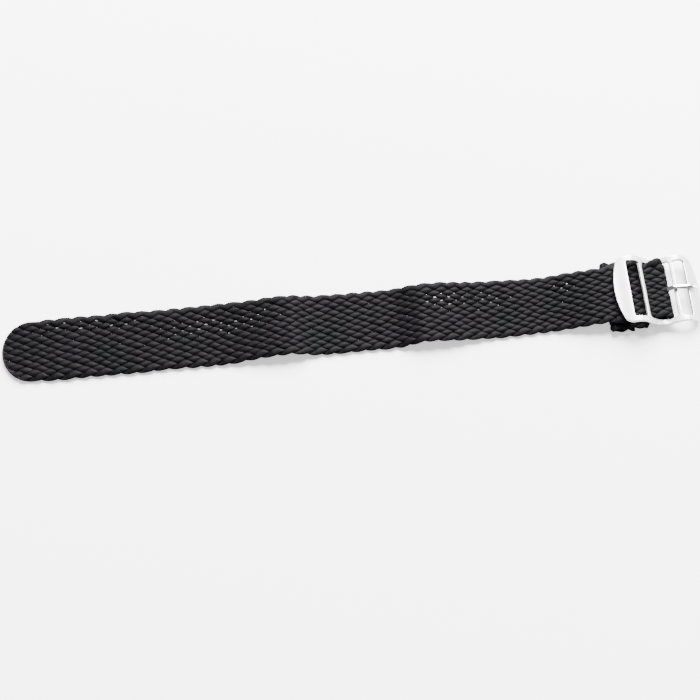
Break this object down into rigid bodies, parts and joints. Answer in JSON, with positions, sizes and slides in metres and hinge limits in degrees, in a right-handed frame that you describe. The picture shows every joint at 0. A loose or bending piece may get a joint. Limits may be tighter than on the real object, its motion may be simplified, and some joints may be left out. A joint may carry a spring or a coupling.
{
  "type": "woven nylon watch strap",
  "caption": "Braided nylon watch strap with a sealed rounded tail and a sewn-on steel ladder buckle with a hinged prong.",
  "frame": {"origin": "middle of the flat underside of the watch seat, on the surface that the strap lies on", "axes": "+X runs along the band to the buckle, +Y across the band, +Z out of the band's outer face"},
  "size_m": [0.2404, 0.0252, 0.0079],
  "materials": {
    "nylon": "near-black braided nylon with a soft sheen",
    "thread": "black sewing thread",
    "frame_steel": "satin faces with polished edges",
    "prong_steel": "polished"
  },
  "bodies": {
    "centre": {"band_centre": "nylon"},
    "tail_1": {"band_tail_1": "nylon"},
    "tail_2": {"band_tail_2": "nylon"},
    "tail_3": {"band_tail_3": "nylon"},
    "tail_4": {"band_tail_4": "nylon"},
    "tail_5": {"band_tail_5": "nylon"},
    "lead_1": {"band_lead_1": "nylon"},
    "lead_2": {"band_lead_2": "nylon"},
    "lead_3": {"band_lead_3": "nylon"},
    "buckle_end": {"band_buckle_end": "nylon", "band_hem": "nylon", "fold_stitches": "thread"},
    "frame": {"buckle_frame": "frame_steel"},
    "prong": {"prong": "prong_steel"}
  },
  "joints": [
    {"name": "tail_bend_1", "type": "hinge", "parent": "centre", "child": "tail_1", "pos_m": [-0.0235, 0, 0.00335], "axis": [0, -1, 0], "range_deg": [-12, 30]},
    {"name": "tail_bend_2", "type": "hinge", "parent": "tail_1", "child": "tail_2", "pos_m": [-0.0415, 0, 0.00136], "axis": [0, -1, 0], "range_deg": [-12, 30]},
    {"name": "tail_bend_3", "type": "hinge", "parent": "tail_2", "child": "tail_3", "pos_m": [-0.0595, 0, 0.00075], "axis": [0, -1, 0], "range_deg": [-12, 30]},
    {"name": "tail_bend_4", "type": "hinge", "parent": "tail_3", "child": "tail_4", "pos_m": [-0.0775, 0, 0.00075], "axis": [0, -1, 0], "range_deg": [-12, 30]},
    {"name": "tail_bend_5", "type": "hinge", "parent": "tail_4", "child": "tail_5", "pos_m": [-0.0955, 0, 0.00075], "axis": [0, -1, 0], "range_deg": [-12, 30]},
    {"name": "lead_bend_1", "type": "hinge", "parent": "centre", "child": "lead_1", "pos_m": [0.0235, 0, 0.00335], "axis": [0, 1, 0], "range_deg": [-12, 40]},
    {"name": "lead_bend_2", "type": "hinge", "parent": "lead_1", "child": "lead_2", "pos_m": [0.0405, 0, 0.00149], "axis": [0, 1, 0], "range_deg": [-12, 40]},
    {"name": "lead_bend_3", "type": "hinge", "parent": "lead_2", "child": "lead_3", "pos_m": [0.0575, 0, 0.00075], "axis": [0, 1, 0], "range_deg": [-12, 40]},
    {"name": "lead_bend_4", "type": "hinge", "parent": "lead_3", "child": "buckle_end", "pos_m": [0.0745, 0, 0.00221], "axis": [0, 1, 0], "range_deg": [-12, 40]},
    {"name": "buckle_tilt", "type": "hinge", "parent": "buckle_end", "child": "frame", "pos_m": [0.1065, 0, 0.0025], "axis": [0, 1, 0], "range_deg": [0, 100]},
    {"name": "prong_swing", "type": "hinge", "parent": "frame", "child": "prong", "pos_m": [0.1065, 0, 0.0025], "axis": [0, -1, 0], "range_deg": [0, 90]}
  ],
  "couplings": [
    {"joint": "tail_bend_2", "follows": "tail_bend_1", "ratio": 1},
    {"joint": "tail_bend_3", "follows": "tail_bend_1", "ratio": 1},
    {"joint": "tail_bend_4", "follows": "tail_bend_1", "ratio": 1},
    {"joint": "tail_bend_5", "follows": "tail_bend_1", "ratio": 1},
    {"joint": "lead_bend_2", "follows": "lead_bend_1", "ratio": 1},
    {"joint": "lead_bend_3", "follows": "lead_bend_1", "ratio": 1},
    {"joint": "lead_bend_4", "follows": "lead_bend_1", "ratio": 1}
  ]
}
